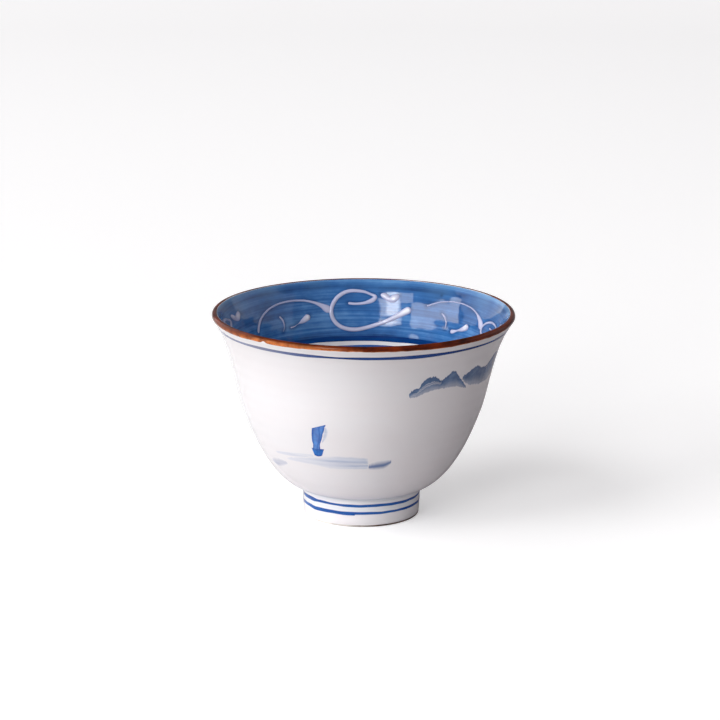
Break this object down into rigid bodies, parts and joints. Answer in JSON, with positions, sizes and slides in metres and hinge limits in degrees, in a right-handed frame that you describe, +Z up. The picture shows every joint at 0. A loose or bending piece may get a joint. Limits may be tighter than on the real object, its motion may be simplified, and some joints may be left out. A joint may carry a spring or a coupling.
{
  "type": "tea cup",
  "caption": "Handleless porcelain tea cup on a foot ring, with a brown lip, painted seascape outside and raised slip vine inside.",
  "frame": {"origin": "centre of the foot ring on the table", "axes": "+Z up along the axis of the cup, towards the lip; -Y towards the painted front"},
  "size_m": [0.086, 0.086, 0.0592],
  "materials": {
    "porcelain": "clear gloss glaze over white porcelain",
    "bare_foot": "unglazed, wiped, matt",
    "iron_brown": "iron glaze, gloss",
    "cobalt_line": "cobalt line under gloss glaze",
    "cobalt_wash": "brushed cobalt wash under gloss glaze",
    "cobalt_ring": "dark cobalt ring under gloss glaze",
    "slip_relief": "raised white slip under gloss glaze",
    "cobalt_paint": "strong cobalt brush stroke under gloss glaze",
    "pale_cobalt": "grey blue brush wash under gloss glaze",
    "water_wash": "very thin brush wash under gloss glaze"
  },
  "bodies": {
    "root": {"bowl": "porcelain", "foot_ring": "porcelain", "foot_edge": "bare_foot", "rim_band": "iron_brown", "rim_line": "cobalt_line", "foot_line_upper": "cobalt_line", "foot_line_lower": "cobalt_line", "inner_wash": "cobalt_wash", "dark_ring": "cobalt_ring", "thin_ring": "cobalt_line", "sail": "cobalt_paint", "boat_hull": "cobalt_paint", "far_water": "water_wash", "near_water": "water_wash", "water_dab": "pale_cobalt", "shore_dab": "pale_cobalt", "ridge_1": "pale_cobalt", "ridge_2": "pale_cobalt", "ridge_3": "pale_cobalt", "ridge_4": "pale_cobalt", "vine_1": "slip_relief", "vine_2": "slip_relief", "vine_3": "slip_relief", "vine_4": "slip_relief", "scroll_1": "slip_relief", "scroll_2": "slip_relief", "scroll_3": "slip_relief", "scroll_4": "slip_relief", "leaf_1": "slip_relief", "leaf_2": "slip_relief", "leaf_3": "slip_relief", "leaf_4": "slip_relief", "tendril_1": "slip_relief", "tendril_2": "slip_relief", "tendril_3": "slip_relief", "tendril_4": "slip_relief", "drop_1": "slip_relief", "drop_2": "slip_relief", "drop_3": "slip_relief", "drop_4": "slip_relief"}
  },
  "joints": []
}
